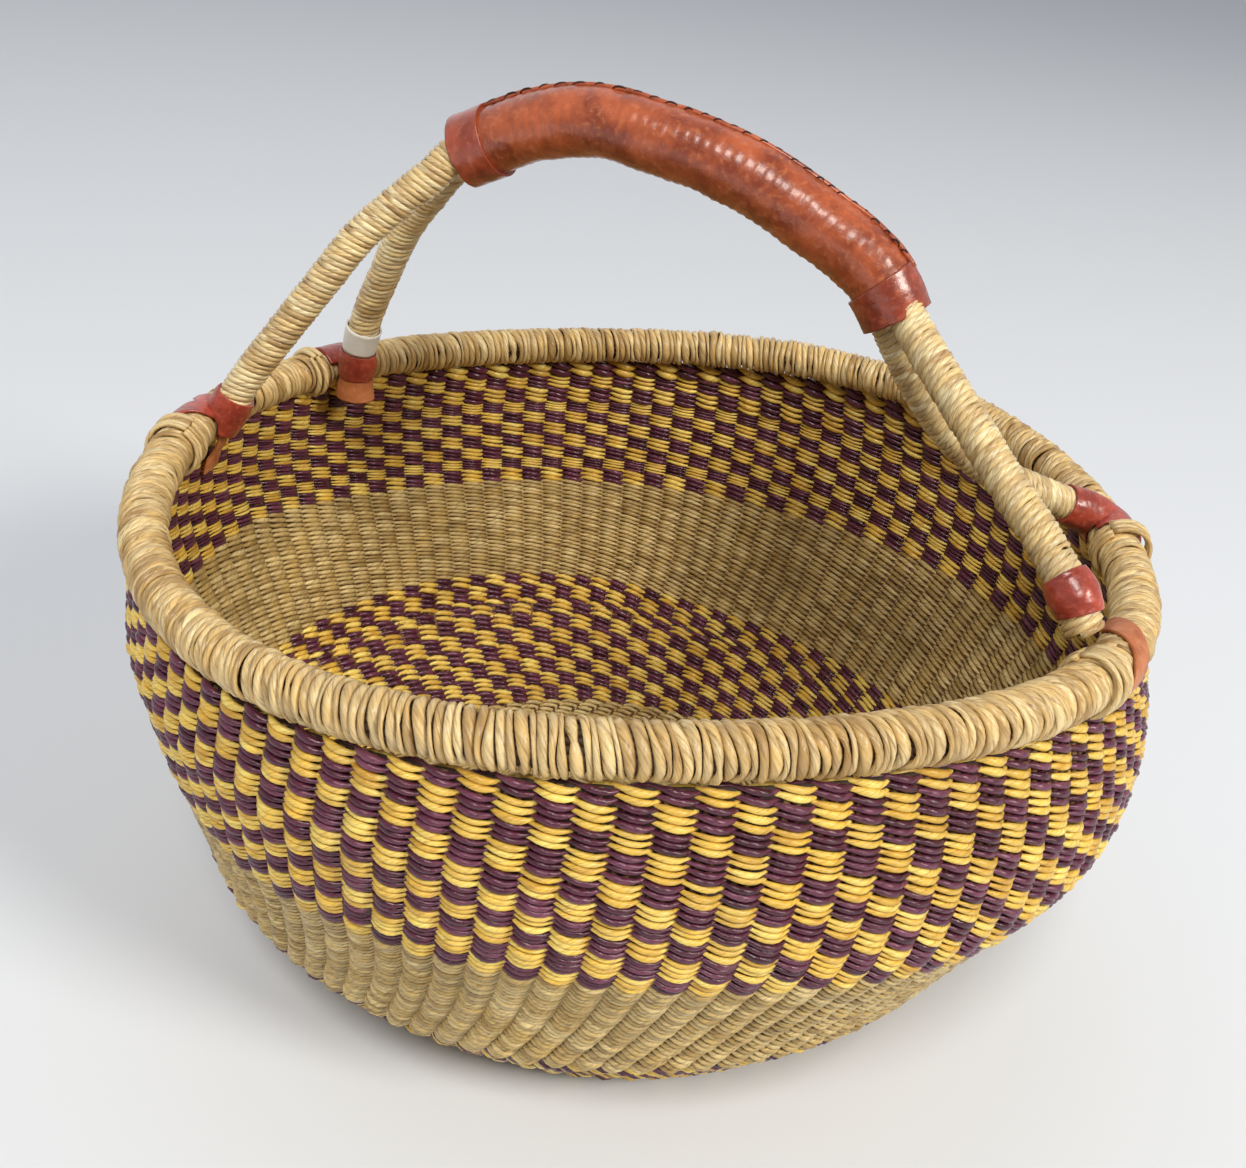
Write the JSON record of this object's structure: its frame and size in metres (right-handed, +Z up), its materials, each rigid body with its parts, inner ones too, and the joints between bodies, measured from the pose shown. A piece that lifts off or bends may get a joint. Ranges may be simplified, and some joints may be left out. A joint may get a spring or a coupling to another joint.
{
  "type": "round woven market basket",
  "caption": "Round bowl-shaped straw market basket with purple and yellow checker bands, a thick bound rim and one arched handle with a leather grip.",
  "frame": {"origin": "middle of the flat resting face under the floor", "axes": "+Z up, X along the handle, -Y the side the picture is taken from, swung 19 degrees toward +X"},
  "size_m": [0.4271, 0.4242, 0.3564],
  "materials": {
    "plain_straw": "dry split straw, satin",
    "dyed_straw": "purple and golden straw, satin",
    "grass_bundle": "dry grass, matte",
    "grip_leather": "smooth polished goat leather",
    "band_leather": "dyed leather, semi-gloss",
    "strap_leather": "tan leather, satin",
    "tag_paper": "matte paper"
  },
  "bodies": {
    "root": {"base_checker_inner": "dyed_straw", "base_checker_outer": "dyed_straw", "floor_plain_weave": "plain_straw", "grip_cuff_left": "band_leather", "grip_cuff_right": "band_leather", "grip_leather_sleeve": "grip_leather", "grip_stitched_seam": "grip_leather", "grip_stuffing_lower": "grass_bundle", "grip_stuffing_upper": "grass_bundle", "handle_core_back": "grass_bundle", "handle_core_front": "grass_bundle", "leather_band_back_left": "band_leather", "leather_band_back_right": "band_leather", "leather_band_front_left": "band_leather", "leather_band_front_right": "band_leather", "leather_strap_back_left": "strap_leather", "leather_strap_back_right": "strap_leather", "leather_strap_front_left": "strap_leather", "leather_strap_front_right": "strap_leather", "leather_tongue_back_left": "strap_leather", "leather_tongue_front_left": "strap_leather", "leg_binding_back_left": "plain_straw", "leg_binding_back_right": "plain_straw", "leg_binding_front_left": "plain_straw", "leg_binding_front_right": "plain_straw", "paper_tag": "tag_paper", "rim_binding_back": "plain_straw", "rim_binding_front": "plain_straw", "rim_binding_left": "plain_straw", "rim_binding_right": "plain_straw", "rim_core_grass_bundle": "grass_bundle", "rim_lashing_back_left": "plain_straw", "rim_lashing_back_right": "plain_straw", "rim_lashing_front_left": "plain_straw", "rim_lashing_front_right": "plain_straw", "wall_checker_lower": "dyed_straw", "wall_checker_upper": "dyed_straw", "wall_plain_weave": "plain_straw"}
  },
  "joints": []
}
